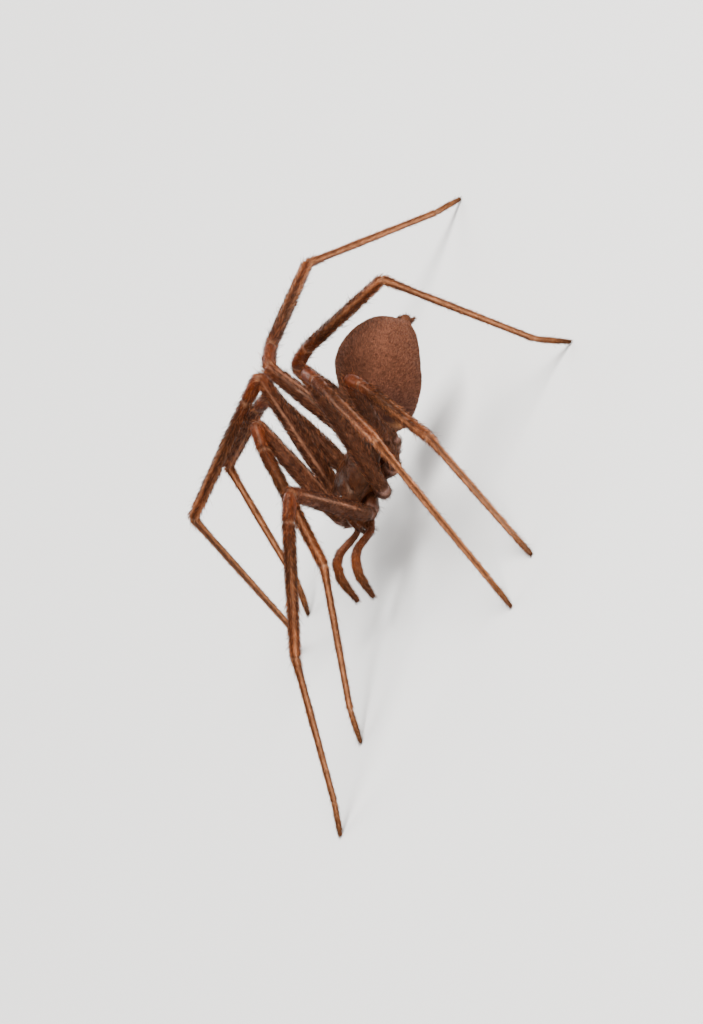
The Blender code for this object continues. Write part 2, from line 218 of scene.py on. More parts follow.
def closedEnd(places, radius, stage, way, count):
    # adds the last rings of a path, which close like a quarter circle
    share = np.linspace(0, np.pi / 2, count + 1)[1:-1]
    places = np.concatenate([places, places[-1] + way * radius[-1] * np.sin(share)[:, None]])
    radius = np.concatenate([radius, radius[-1] * np.cos(share)])
    return places, radius, np.concatenate([stage, np.full(count - 1, stage[-1])])


def trueNormals(surface):
    # normals from the grid itself, turned to agree with the rough ones
    points = surface["points"]
    alongWay = np.gradient(points, axis=0)
    aroundWay = np.roll(points, -1, axis=1) - np.roll(points, 1, axis=1)
    found = unit(np.cross(alongWay, aroundWay))
    agree = np.sign((found * surface["normals"]).sum(-1, keepdims=True))
    surface["normals"] = np.where(agree == 0, surface["normals"], found * agree)
    return surface


def gridFaces(rows, columns):
    # quads of a grid closed around, and a fan to a pole past each end
    row, column = np.meshgrid(np.arange(rows - 1), np.arange(columns), indexing="ij")
    following = (column + 1) % columns
    quads = np.stack([row * columns + column, row * columns + following,
                      (row + 1) * columns + following, (row + 1) * columns + column], -1).reshape(-1, 4)
    first = np.arange(columns)
    after = (first + 1) % columns
    last = (rows - 1) * columns
    pole = rows * columns
    fans = np.concatenate([np.stack([after, first, np.full(columns, pole)], -1),
                           np.stack([last + first, last + after, np.full(columns, pole + 1)], -1)])
    return quads, fans


def facingOut(points, quads, fans):
    # a closed mesh's faces, turned over where its volume comes out below nothing
    triangles = np.concatenate([quads[:, [0, 1, 2]], quads[:, [0, 2, 3]], fans])
    corner = points[triangles] - points.mean(0)
    if np.einsum("ij,ij->i", corner[:, 0], np.cross(corner[:, 1], corner[:, 2])).sum() < 0:
        return quads[:, ::-1], fans[:, ::-1]
    return quads, fans


def fillMesh(name, points, quads, fans):
    mesh = bpy.data.meshes.new(name)
    mesh.vertices.add(len(points))
    mesh.vertices.foreach_set("co", points.astype(np.float32).ravel())
    loops = np.concatenate([quads.ravel(), fans.ravel()])
    mesh.loops.add(len(loops))
    mesh.loops.foreach_set("vertex_index", loops.astype(np.int32))
    starts = np.concatenate([np.arange(len(quads)) * 4, len(quads) * 4 + np.arange(len(fans)) * 3])
    mesh.polygons.add(len(starts))
    mesh.polygons.foreach_set("loop_start", starts.astype(np.int32))
    mesh.update(calc_edges=True)
    mesh.validate()
    mesh.shade_smooth()
    return mesh


def withPoles(grid):
    # a grid's values in a row, then the means of its first and last rings
    return np.concatenate([grid.reshape(-1, *grid.shape[2:]), [grid[0].mean(0), grid[-1].mean(0)]])


def gridMesh(name, grids):
    # one mesh of closed grids
    points, quads, fans, start = [], [], [], 0
    for grid in grids:
        own = withPoles(grid)
        four, three = facingOut(own, *gridFaces(*grid.shape[:2]))
        points.append(own)
        quads.append(four + start)
        fans.append(three + start)
        start += len(own)
    return fillMesh(name, np.concatenate(points), np.concatenate(quads), np.concatenate(fans))


def paint(mesh, tints, gloss=None):
    colour = mesh.attributes.new("tint", "FLOAT_COLOR", "POINT")
    opaque = np.concatenate([tints, np.ones((len(tints), 1))], 1)
    colour.data.foreach_set("color", opaque.astype(np.float32).ravel())
    if gloss is not None:
        shine = mesh.attributes.new("gloss", "FLOAT", "POINT")
        shine.data.foreach_set("value", gloss.astype(np.float32))


def placed(name, data):
    made = bpy.data.objects.new(name, data)
    bpy.context.scene.collection.objects.link(made)
    return made


def surfaceObject(name, surface, material):
    # one closed shell from a surface, with its tint and gloss
    mesh = gridMesh(name, [surface["points"]])
    paint(mesh, withPoles(surface["tints"]), withPoles(surface["gloss"]))
    mesh.materials.append(material)
    return placed(name, mesh)


# Materials

class Flow:
    # a socket that can be added, taken away and multiplied
    def __init__(self, finish, socket):
        self.finish = finish
        self.socket = socket

    def sum(self, operation, first, second):
        return self.finish.add("ShaderNodeMath", {"operation": operation}, {0: first, 1: second})

    def __add__(self, other):
        return self.sum("ADD", self, other)

    def __sub__(self, other):
        return self.sum("SUBTRACT", self, other)

    def __rsub__(self, other):
        return self.sum("SUBTRACT", other, self)

    def __mul__(self, other):
        return self.sum("MULTIPLY", self, other)

    __radd__ = __add__
    __rmul__ = __mul__


class Finish:
    # one material, with the values that are the same all over on its shader
    def __init__(self, name, values):
        self.material = bpy.data.materials.new(name)
        self.material.use_nodes = True
        self.tree = self.material.node_tree
        self.shader = self.tree.nodes["Principled BSDF"]
        for socket, value in values.items():
            self.shader.inputs[socket].default_value = value

    def add(self, kind, settings, inputs, output=0):
        node = self.tree.nodes.new(kind)
        for key, value in settings.items():
            if key == "stops":
                node.color_ramp.elements[0].position, node.color_ramp.elements[1].position = value
            else:
                setattr(node, key, value)
        for key, value in inputs.items():
            if isinstance(value, Flow):
                self.tree.links.new(value.socket, node.inputs[key])
            else:
                node.inputs[key].default_value = value
        return Flow(self, node.outputs[output])

    def place(self):
        return self.add("ShaderNodeTexCoord", {}, {}, "Object")

    def attribute(self, name, output):
        return self.add("ShaderNodeAttribute", {"attribute_name": name}, {}, output)

    def noise(self, scale, detail=3.0, roughness=0.55):
        return self.add("ShaderNodeTexNoise", {}, {
            "Vector": self.place(), "Scale": scale, "Detail": detail, "Roughness": roughness})

    def cells(self, scale):
        return self.add("ShaderNodeTexVoronoi", {}, {"Vector": self.place(), "Scale": scale})

    def ramp(self, value, first, last):
        return self.add("ShaderNodeValToRGB", {"stops": (first, last)}, {"Fac": value})

    def blend(self, share, first, second, mode="MIX"):
        return self.add("ShaderNodeMix", {"data_type": "RGBA", "blend_type": mode},
                        {0: share, 6: first, 7: second}, 2)

    def relief(self, height, strength, distance):
        return self.add("ShaderNodeBump", {}, {
            "Height": height, "Strength": strength, "Distance": distance})

    def into(self, socket, flow):
        self.tree.links.new(flow.socket, self.shader.inputs[socket])


# highlight, noises and relief of the hard cuticle with its hair sockets, and of the abdomen's
# soft skin under a fine nap; a noise has its scale, then a ramp's stops or detail and roughness
highlight = ("Specular IOR Level", "Specular Tint")
skinLook = {
    "shell": {"highlight": (0.2, (1, 0.7, 0.5, 1)), "mottle": (2600, 0.3, 0.7), "mottleShare": 0.5,
              "grain": (14000, 2.0, 0.55), "uneven": 0.25, "sockets": (9000, 0.0, 0.35),
              "strength": 0.35, "relief": 0.01 * mm},
    "velvet": {"highlight": (0.12, (1, 0.66, 0.46, 1)), "mottle": (1700, 0.25, 0.75),
               "mottleShare": 0.3, "grain": (16000, 4.0, 0.7), "uneven": 0.2,
               "strength": 0.7, "relief": 0.03 * mm},
}
hairLook = {"highlight": (0.15, (1, 0.66, 0.46, 1)), "roughness": (5000, 0.3, 0.4)}
# shader values, a noise between two colours, and the noise, range and least value of the roughness
glassyLook = {
    "eyeDome": ({"Coat Weight": 0.5, "Coat Roughness": 0.03, "Specular IOR Level": 0.4},
                (4000, 0.35, 0.75), (0.006, 0.004, 0.003, 1), (0.05, 0.025, 0.012, 1), (9000, 0.1, 0.05)),
    "claw": ({"Specular IOR Level": 0.6},
             (9000, 0.4, 0.7), (0.018, 0.006, 0.003, 1), (0.06, 0.018, 0.007, 1), (12000, 0.2, 0.15)),
}


def makeSkinMaterial(name):
    # the painted tint, mottled, with fine grain and any hair sockets in relief
    look = skinLook[name]
    finish = Finish(name, dict(zip(highlight, look["highlight"])))
    scale, first, last = look["mottle"]
    mottle = finish.ramp(finish.noise(scale), first, last)
    tint = finish.attribute("tint", "Color")
    finish.into("Base Color", finish.blend(look["mottleShare"], tint, mottle, "MULTIPLY"))
    height = grain = finish.noise(*look["grain"])
    finish.into("Roughness", finish.attribute("gloss", "Fac") + (grain - 0.5) * look["uneven"])
    if "sockets" in look:
        scale, first, last = look["sockets"]
        height = finish.blend(0.5, grain, finish.ramp(finish.cells(scale), first, last))
    finish.into("Normal", finish.relief(height, look["strength"], look["relief"]))
    return finish.material


def makeHair():
    finish = Finish("hair", dict(zip(highlight, hairLook["highlight"])))
    finish.into("Base Color", finish.attribute("tint", "Color"))
    scale, uneven, least = hairLook["roughness"]
    finish.into("Roughness", finish.noise(scale) * uneven + least)
    return finish.material


def makeGlassy(name):
    # smooth and dark, mottled between two colours
    values, (scale, first, last), dark, light, (grain, uneven, least) = glassyLook[name]
    finish = Finish(name, values)
    finish.into("Base Color", finish.blend(finish.ramp(finish.noise(scale), first, last), dark, light))
    finish.into("Roughness", finish.noise(grain) * uneven + least)
    return finish.material


# Legs

legShape = {
    "solidPointsRound": 12,
    "rootOut": 0.55 * mm, "rootHeight": 2.66 * mm, "trochanter": 0.35 * mm,
    "bends": (0, 0.12, 0.16, 0.3, 0.16, 0.22, 0.2, 0),  # where each corner starts to turn, mm
    "step": 0.105 * mm, "around": 24, "tall": 1.06,
    # stage along the leg and radius in mm; a whole number is a joint
    "girth": ((0, 0.2), (0.45, 0.3), (0.8, 0.315), (1, 0.29), (1.5, 0.29), (2, 0.275), (2.12, 0.315),
              (2.28, 0.345), (2.5, 0.335), (2.75, 0.3), (3, 0.272), (3.5, 0.275), (4, 0.25),
              (4.12, 0.235), (4.4, 0.232), (4.8, 0.21), (5, 0.2), (5.08, 0.165), (5.4, 0.15),
              (5.8, 0.132), (6, 0.13), (6.15, 0.118), (6.6, 0.108), (7, 0.075)),
    "waist": 0.16, "waistLength": 0.055 * mm,  # the narrowing at each joint
    "flare": 0.045, "flareLength": 0.1 * mm, "flareBefore": 0.13 * mm,  # the swelling before it
    "tipBack": 0.5, "tipUp": 0.75,  # where the last corner lies, as shares of the tip's radius
    "footRings": 5, "uneven": 0.015,
}
legLook = {
    # stage along the leg and linear colour
    "tint": ((0, 0.07, 0.02, 0.008), (1, 0.056, 0.017, 0.008), (2, 0.07, 0.022, 0.009),
             (2.3, 0.085, 0.026, 0.012), (2.8, 0.088, 0.026, 0.012), (2.97, 0.11, 0.026, 0.009),
             (3.2, 0.1, 0.019, 0.005), (3.8, 0.1, 0.02, 0.005), (4.06, 0.085, 0.019, 0.006),
             (4.25, 0.07, 0.018, 0.006), (4.7, 0.105, 0.027, 0.009), (4.95, 0.15, 0.036, 0.01),
             (5.08, 0.15, 0.042, 0.014), (5.4, 0.17, 0.054, 0.02), (5.85, 0.19, 0.064, 0.025),
             (6.08, 0.15, 0.05, 0.018), (6.6, 0.12, 0.04, 0.014), (7, 0.07, 0.023, 0.008)),
    # the pale skin of the joints: broad and pinkish at the two by the body, narrow further out
    "membrane": (0.36, 0.17, 0.09), "membraneLength": 0.05 * mm,
    "hipMembrane": (0.34, 0.18, 0.14), "hipLength": 0.085 * mm,
    "rim": (0.85, 0.6), "spot": 0.4, "under": 0.16, "bareGloss": 0.45,
    # the bare stripe down each flank of the thigh is painted pale: a painted highlight streak standing in
    # for its gloss
    "bare": 0.085, "highlightStreak": (0.42, 0.18, 0.1), "highlightStreakShare": 0.75,  # half width as a sine
    "edge": (0.3, 0.14),  # place and half width of the dark edges of the thigh's streak
    # painted highlight lines further out, pale in place of the gloss on their bare cuticle, and dark
    # stripes between, by the sine of twice the angle
    "lineWidth": 0.14, "highlightLineTint": (0.44, 0.175, 0.08), "highlightLineShare": 0.8,
    "betweenWidth": 0.5, "dark": 0.6,
    # stage, and how much the streak or the lines show
    "thighWindow": ((0, 0), (2.05, 0), (2.3, 1), (2.8, 1), (3, 0.2), (3.2, 0), (7, 0)),
    "outerWindow": ((0, 0), (4.1, 0), (4.5, 0.5), (5, 0.8), (5.2, 1), (5.9, 1), (6.3, 0.3), (7, 0)),
    "gloss": ((0, 0.45), (2, 0.42), (2.9, 0.42), (3.5, 0.44), (4.2, 0.42), (5, 0.38), (5.5, 0.36),
              (7, 0.45)),
}


def bareHighlightLines(stage, cos, sin):
    # hairless glossy lines, painted pale in legTints as painted highlights: one down each flank of the
    # thigh, and four further out, each halfway between flank and back or flank and belly, with the
    # stripes between them
    thigh = straightTable(legLook["thighWindow"], stage)
    outer = straightTable(legLook["outerWindow"], stage)
    halfway = np.abs(2 * sin * cos)
    pair = bump(1 - halfway, legLook["lineWidth"]) * outer
    return bump(sin, legLook["bare"]) * thigh, pair, bump(halfway, legLook["betweenWidth"]) * outer


def legTints(stage, gap, cos, sin):
    # brown along the leg, lighter underneath, a pale rim at each joint with a spot each side, a pale
    # streak down each flank of the thigh as a painted highlight, and on the tibia and metatarsus dark
    # stripes between light lines that are painted highlights
    thigh, pair, between = bareHighlightLines(stage, cos, sin)
    place, width = legLook["edge"]
    dark = legLook["dark"] * (between + thigh * bump(np.abs(sin) - place, width))
    light = 1 + legLook["under"] * np.clip(-sin, 0, 1)
    tint = smoothTable(legLook["tint"], stage) * (light - dark)[..., None]
    # painted highlight: the pale streak stands in for the gloss that light lays along the thigh's bare
    # stripe
    tint = mix(tint, legLook["highlightStreak"], legLook["highlightStreakShare"] * thigh)
    # painted highlight: the pale lines on the tibia and metatarsus stand in for gloss along their bare
    # lines
    tint = mix(tint, legLook["highlightLineTint"], legLook["highlightLineShare"] * pair)
    hip = stage < 2.5
    length = np.where(hip, legLook["hipLength"], legLook["membraneLength"])
    rim = np.where(hip, *legLook["rim"]) * bump(gap, length) * (stage < 6.7) * (stage > 0.5)
    spot = legLook["spot"] * bump(gap - 1.6 * length, 1.4 * length) * np.abs(cos) ** 8 * ~hip
    pale = np.where(hip[..., None], legLook["hipMembrane"], legLook["membrane"])
    return mix(tint, pale, np.clip(rim * (0.45 + 0.55 * np.clip(-sin + 0.3, 0, 1)) + spot, 0, 1))


def legSurface(name):
    corners = legCorners(name)
    ways = unit(np.diff(corners, axis=0))
    hinge = unit(np.cross(ways[2], ways[4]))
    tipRadius = smoothTable(legShape["girth"], [7.0])[0, 0] * mm
    corners[-1] -= ways[-1] * tipRadius * legShape["tipBack"]
    corners[-1][2] += tipRadius * legShape["tipUp"]
    places, stage, gap = roundedPath(corners, np.array(legShape["bends"]) * mm, legShape["step"])
    radius = smoothTable(legShape["girth"], stage)[:, 0] * mm
    joint = (stage > 0.5) & (stage < 6.6)
    radius = radius * (1 - joint * legShape["waist"] * bump(gap, legShape["waistLength"]))
    swelling = bump(gap + legShape["flareBefore"], legShape["flareLength"])
    radius = radius * (1 + joint * legShape["flare"] * swelling)
    places, radius, stage = closedEnd(places, radius, stage, ways[-1], legShape["footRings"])
    gap = np.concatenate([gap, np.full(len(places) - len(gap), mm)])
    surface = tube(places, hinge, radius, legShape["around"], legShape["tall"])
    waves = ripple(stage[:, None] * 37, stage[:, None] * 61 + 3 * surface["cos"])
    uneven = legShape["uneven"] * radius[:, None] * waves
    surface["points"] = surface["points"] + surface["normals"] * uneven[..., None]
    surface["points"][..., 2] = np.maximum(surface["points"][..., 2], 0)
    surface["stage"] = np.broadcast_to(stage[:, None], surface["cos"].shape)
    wideGap = np.broadcast_to(gap[:, None], surface["cos"].shape)
    surface["tints"] = legTints(surface["stage"], wideGap, surface["cos"], surface["sin"])
    thigh, pair = bareHighlightLines(surface["stage"], surface["cos"], surface["sin"])[:2]
    surface["bare"] = np.clip(thigh + 0.9 * pair, 0, 1)
    gloss = smoothTable(legLook["gloss"], surface["stage"])[..., 0]
    surface["gloss"] = gloss * (1 - legLook["bareGloss"] * surface["bare"])
    surface["tip"] = (places[-1], ways[-1], hinge)
    return surface


# Cephalothorax

headShape = {
    "along": 120, "around": 120, "domePower": 2.25, "closing": 0.05, "depth": 0.78,
    # y, half width, height over the margin, sternum half width, depth under the margin, mm
    "stations": ((-1.82, 0.5, 0.3, 0.28, 0.05), (-1.62, 0.78, 0.55, 0.36, 0.06),
                 (-1.3, 0.91, 0.69, 0.4, 0.12), (-0.9, 1.03, 0.74, 0.6, 0.6),
                 (-0.45, 1.3, 0.75, 0.76, 0.72), (0.1, 1.47, 0.74, 0.82, 0.76),
                 (0.6, 1.45, 0.69, 0.74, 0.74), (1.1, 1.24, 0.56, 0.5, 0.62),
                 (1.5, 0.88, 0.37, 0.28, 0.4), (1.82, 0.4, 0.14, 0.18, 0.22)),
    # share of the underside, then shares of sternum width, margin width and depth, and a drop
    "underside": ((0, 0, 0, 1, 0), (0.25, 0.55, 0, 0.985, 0), (0.45, 0.9, 0, 0.88, 0),
                  (0.6, 1, 0, 0.45, 0.03), (0.75, 0.65, 0.35, 0.15, 0.06), (0.9, 0.12, 0.88, 0.02, 0.07),
                  (1, 0, 1, 0, 0)),
    "fovea": (0.52, 0.3, 0.05, 0.085),  # place, half length, half width and depth, mm
    "neckStart": (0.0, 0.3), "neckEnd": (0.86, -0.95), "neckDepth": 0.05, "neckWidth": 0.075,
    "furrowAngles": (58, 92, 126), "furrowDepth": 0.034, "furrowWidth": 0.06,
}
headLook = {
    # the shell tint is the carapace's reddish brown, made darker in part as painted shade for the shadow
    # the legs cast over it
    "shell": (0.046, 0.012, 0.004), "dark": (0.014, 0.004, 0.002), "margin": (0.02, 0.006, 0.003),
    "face": (0.07, 0.018, 0.006), "sternum": (0.12, 0.034, 0.011), "flank": (0.11, 0.04, 0.02),
    "gloss": 0.43, "fiddleShare": 0.8, "fiddleEdge": 0.05, "grooveShare": 0.75,
    # y and half width of the dark fiddle mark, mm
    "fiddle": ((-1.9, 0.5), (-1.5, 0.52), (-0.9, 0.44), (-0.2, 0.24), (0.35, 0.13), (0.6, 0.07),
               (1.0, 0.045), (1.3, 0.02)),
}


def lineDistance(x, y, start, end):
    # distance from a line, and the share of the way along it
    way = np.subtract(end, start)
    length = np.hypot(*way)
    dx, dy = x - start[0], y - start[1]
    along = (dx * way[0] + dy * way[1]) / length ** 2
    return np.abs(dx * way[1] - dy * way[0]) / length, along


def headRelief(x, y):
    # grooves of the dome, in mm: the long fovea, two neck furrows and the furrows that fan out
    place, halfLength, halfWidth, depth = headShape["fovea"]
    relief = -depth * bump(x, halfWidth) * bump(y - place, halfLength)
    away, along = lineDistance(np.abs(x), y, headShape["neckStart"], headShape["neckEnd"])
    window = bump(np.clip(along - 0.95, 0, None), 0.12) * bump(np.clip(-along, 0, None), 0.06)
    relief = relief - headShape["neckDepth"] * bump(away, headShape["neckWidth"]) * window
    for degrees in headShape["furrowAngles"]:
        turn = math.radians(degrees)
        end = (math.sin(turn) * 1.15, place - math.cos(turn) * 1.15)
        away, along = lineDistance(np.abs(x), y, (0, place), end)
        window = bump(np.clip(along - 0.8, 0, None), 0.15) * np.clip(along * 4, 0, 1)
        relief = relief - headShape["furrowDepth"] * bump(away, headShape["furrowWidth"]) * window
    return relief + 0.02 * bump(x, 0.35) * np.clip(-y - 0.2, 0, 0.6)


def domeTop(x, y):
    # height of the dome over the margin at one place, mm
    row = smoothTable(headShape["stations"], y)
    power = headShape["domePower"]
    share = np.clip(1 - np.abs(x / row[..., 0]) ** power, 0, 1) ** (1 / power)
    return row[..., 1] * share + headRelief(x, y) * share


def headTints(x, y, top, under, sternum):
    # a dark fiddle mark from the eyes to the fovea, dark furrows and margin, a paler sternum
    width = smoothTable(headLook["fiddle"], y)[..., 0]
    edge = np.exp((np.abs(x) - width) / headLook["fiddleEdge"])
    fiddle = headLook["fiddleShare"] / (1 + edge) * (y < 1.25)
    groove = np.clip(-headRelief(x, y) / 0.05, 0, 1) * headLook["grooveShare"]
    dark = np.clip(fiddle + groove * (1 - fiddle), 0, 1) * top
    tint = mix(headLook["shell"], headLook["dark"], dark)
    tint = mix(tint, headLook["face"], np.clip(-y - 1.66, 0, 0.1) * 10)
    return mix(tint, mix(headLook["flank"], headLook["sternum"], sternum), under)


def headSurface():
    # rings square to the body: a superellipse dome over a drawn underside
    share = (1 - np.cos(np.linspace(0, np.pi, headShape["along"]))) / 2
    half = (headHigh[1] - headLow[1]) / 2 / mm
    y = (-1 + 2 * share) * half
    row = smoothTable(headShape["stations"], y)
    cos, sin = (wave[None] for wave in turns(headShape["around"]))
    halfWidth, height, sternum, depth = (row[:, column, None] for column in range(4))
    power = headShape["domePower"]
    top = sin >= 0
    domeX = halfWidth * np.sign(cos) * np.abs(cos) ** (2 / power)
    wide = np.broadcast_to(y[:, None], (len(y), headShape["around"]))
    under = smoothTable(headShape["underside"], np.abs(cos))
    flatX = np.sign(cos) * (under[..., 0] * sternum + under[..., 1] * halfWidth)
    flatZ = -(under[..., 2] * depth + under[..., 3])
    x = np.where(top, domeX, flatX)
    z = np.where(top, height * np.abs(sin) ** (2 / power), flatZ)
    relief = headRelief(x, wide) * np.clip(np.abs(sin) * 2.5, 0, 1)
    z = z + np.where(top, relief + 0.004 * ripple(wide * 21, x * 23 + wide * 9), 0)
    q = np.clip((np.abs(wide) / half - 1 + headShape["closing"]) / headShape["closing"], 0, 1)
    shrink = np.sqrt(np.clip(1 - q ** 2, 0, 1)) * 0.97 + 0.03
    x, z = x * shrink, 0.12 + (z - 0.12) * shrink
    margin = headLow[2] + headShape["depth"] * mm
    points = np.stack([bodyMiddle[0] + x * mm, bodyMiddle[1] + wide * mm, margin + z * mm], -1)
    rough = np.stack([np.broadcast_to(cos, x.shape), np.zeros_like(x), np.broadcast_to(sin, x.shape)], -1)
    lies = unit(np.stack([-x * 0.35, 0.9 + 0 * x, 0.1 + 0 * x], -1))
    surface = trueNormals({"points": points, "normals": unit(rough), "lies": lies})
    surface["lies"] = squareTo(surface["normals"], lies)
    below = np.broadcast_to(np.where(top, 0.0, 1.0), x.shape) * np.clip(1.15 - np.abs(cos), 0, 0.2) * 5
    sternumShare = np.clip((0.66 - np.abs(cos)) * 12, 0, 1) * np.ones_like(x)
    onTop = np.broadcast_to(np.where(top, 1.0, 0.0), x.shape)
    surface["tints"] = headTints(x, wide, onTop, np.clip(below, 0, 1), sternumShare)
    surface["tints"] = mix(surface["tints"], headLook["margin"], bump(sin, 0.1) * 0.6)
    surface["gloss"] = np.full(x.shape, headLook["gloss"])
    surface["top"] = onTop
    return surface


# Abdomen, waist and spinnerets

abdomenShape = {
    "solidPointsRound": 26, "rings": 120, "around": 120, "coatDepth": 0.06 * mm,
    "sigilla": ((0.34, 0.3), (0.5, 0.34)), "sigillumDepth": 0.035 * mm,  # share along, share aside
    "furrow": 0.16, "furrowDepth": 0.05 * mm,
    "lungPlate": (0.045, -0.72, 0.62), "lungRise": 0.03 * mm,  # share along, sine down, cosine aside
    "wrinkle": 0.006 * mm,
}
abdomenLook = {
    "back": (0.045, 0.014, 0.007), "flank": (0.118, 0.042, 0.023), "belly": (0.125, 0.047, 0.028),
    "lung": (0.36, 0.15, 0.055), "mark": (0.03, 0.009, 0.004), "front": (0.085, 0.036, 0.027),
    "waist": ((0, 0.07, 0.022, 0.01), (0.5, 0.15, 0.06, 0.034), (1, 0.08, 0.028, 0.015)),
}


def abdomenSections():
    # centre, half width and half height of each ring of the solid, from front to rear
    near = bodyMiddle + [0, 0, legShape["rootHeight"]]
    rings = ringsOf("abdomen", abdomenShape["solidPointsRound"], near)
    centres = np.array([ring.mean(0) for ring in rings])
    axis = unit(centres[-1] - centres[0])
    across = squareTo(axis, np.array([1.0, 0, 0]))
    over = np.cross(across, axis)
    wide, tall = (np.array([np.abs((ring - ring.mean(0)) @ way).max() for ring in rings])
                  for way in (across, over))
    return centres, axis, across, over, wide, tall


def abdomenSurface(sections):
    # ellipses square to the axis, set in by the coat, with dents, a furrow and lung plates
    centres, axis, across, over, wide, tall = sections
    along = (centres - centres[0]) @ axis
    length = along[-1]
    rise = (centres - centres[0]) @ over
    share = (1 - np.cos(np.linspace(0, np.pi, abdomenShape["rings"]))) / 2
    found = smoothTable(np.stack([along / length, rise, wide, tall], 1), share)
    cos, sin = (wave[None] for wave in turns(abdomenShape["around"]))
    shares = np.broadcast_to(share[:, None], (len(share), abdomenShape["around"]))
    middle = centres[0] + axis * (share * length)[:, None] + over * found[:, :1]
    out = across * cos[..., None] + over * sin[..., None]
    offset = across * cos[..., None] * found[:, 1, None, None]
    offset = offset + over * sin[..., None] * found[:, 2, None, None]
    lump = np.zeros(shares.shape)
    for place, aside in abdomenShape["sigilla"]:
        dent = bump(shares - place, 0.028) * bump(np.abs(cos) - aside, 0.05) * (sin > 0)
        lump = lump - abdomenShape["sigillumDepth"] * dent
    furrow = bump(shares - abdomenShape["furrow"], 0.018) * np.clip(-sin * 2, 0, 1)
    lump = lump - abdomenShape["furrowDepth"] * furrow
    place, down, aside = abdomenShape["lungPlate"]
    plate = bump(shares - place, 0.04) * bump(sin - down, 0.3) * bump(np.abs(cos) - aside, 0.36)
    lump = lump + abdomenShape["lungRise"] * plate
    lump = lump + abdomenShape["wrinkle"] * ripple(shares * 60 + 2 * cos, shares * 83 + 3 * sin)
    size = np.linalg.norm(offset, axis=-1)
    inset = np.minimum(abdomenShape["coatDepth"], size * 0.3)
    points = middle[:, None] + offset * ((size - inset + lump) / np.maximum(size, 1e-9))[..., None]
    surface = trueNormals({"points": points, "normals": np.broadcast_to(out, points.shape)})
    surface["lies"] = squareTo(surface["normals"], axis)
    back = np.clip(sin * 2.4 - 1.25, 0, 1) * np.ones_like(shares)
    tint = mix(abdomenLook["flank"], abdomenLook["back"], back)
    belly = np.clip(-sin * 1.3, 0, 1) * np.clip(1.25 - 1.3 * shares, 0.25, 1)
    tint = mix(tint, abdomenLook["belly"], belly)
    front = bump(np.clip(shares - 0.08, 0, 1), 0.14) * np.clip(0.9 - sin * 1.2, 0, 1)
    tint = mix(tint, abdomenLook["front"], front)
    mark = 0.45 * bump(cos, 0.16) * (sin > 0) * bump(np.clip(np.abs(shares - 0.22) - 0.14, 0, 1), 0.05)
    dents = sum(bump(shares - place, 0.03) * bump(np.abs(cos) - aside, 0.05) * (sin > 0)
                for place, aside in abdomenShape["sigilla"])
    tint = mix(tint, abdomenLook["mark"], np.clip(mark + 0.6 * dents, 0, 1))
    surface["tints"] = mix(tint, abdomenLook["lung"], np.clip(plate, 0, 1))
    surface["gloss"] = np.clip(0.72 - 0.15 * plate, 0, 1)
    surface["shares"], surface["plate"] = shares, plate
    return surface


limbRings = 6


def limb(corners, radii, hinge, tintTable, gloss, around=20, bend=0.1 * mm, step=0.06 * mm, tall=1.0):
    # a short closed limb: a rounded path with a radius and a tint for each stage
    corners = np.array(corners, float)
    places, stage, _ = roundedPath(corners, np.full(len(corners), bend), step)
    radius = smoothTable(list(enumerate(radii)), stage)[:, 0]
    way = unit(corners[-1] - corners[-2])
    places, radius, stage = closedEnd(places, radius, stage, way, limbRings)
    surface = tube(places, np.array(hinge, float), radius, around, tall)
    surface["stage"] = np.broadcast_to(stage[:, None], surface["cos"].shape)
    surface["tints"] = smoothTable(tintTable, surface["stage"])
    surface["gloss"] = np.full(surface["cos"].shape, gloss)
    return surface


spinneretShape = {
    "waistSlim": 0.94, "waistSink": 0.35 * mm,
    "hub": 0.3 * mm, "hubLength": 0.12 * mm, "tilt": math.radians(-32), "sink": 0.25 * mm,
    # sideways, upwards, root radius and length of one of each pair, mm
    "pairs": ((0.13, -0.1, 0.105, 0.32), (0.06, 0.04, 0.06, 0.19), (0.13, 0.13, 0.09, 0.26)),
    "tubercle": (0.0, 0.32, 0.09, 0.1),
    "tint": ((0, 0.04, 0.012, 0.006), (1, 0.085, 0.026, 0.011)),
}


def rearSurfaces(sections):
    # the waist, the spinnerets' hub with its six tapering cones, and the tubercle over them
    centres, axis, across, over = sections[:4]
    low, high = boxOf("pedicel")
    sink = spinneretShape["waistSink"]
    radius = (high[0] - low[0]) / 2 * spinneretShape["waistSlim"]
    start = np.array([bodyMiddle[0], low[1] - sink, (low[2] + high[2]) / 2])
    end = centres[0] + axis * sink
    found = [limb((start, end), (radius, radius), across, abdomenLook["waist"], 0.4)]
    seat = centres[-1]
    tint = spinneretShape["tint"]
    shelf = seat + axis * spinneretShape["hubLength"]
    radius = spinneretShape["hub"]
    found.append(limb((seat - axis * spinneretShape["sink"], shelf), (radius, radius * 0.85), across,
                      tint, 0.5, 28))
    way = unit(axis * math.cos(spinneretShape["tilt"]) + over * math.sin(spinneretShape["tilt"]))
    cones = [(side * aside, up, thick, length) for aside, up, thick, length in spinneretShape["pairs"]
             for side in (1, -1)]
    for aside, up, thick, length in cones + [spinneretShape["tubercle"]]:
        foot = seat + (across * aside + over * up) * mm
        tip = foot + way * (length * mm + spinneretShape["hubLength"] - thick * 0.5 * mm)
        middle = foot + (tip - foot) * 0.62
        found.append(limb((foot, middle, tip), np.array((1, 0.86, 0.5)) * thick * mm, across,
                          ((0, *tint[0][1:]), (2, *tint[1][1:])), 0.5, 14, 0.04 * mm, 0.03 * mm))
    return found


# Mouthparts

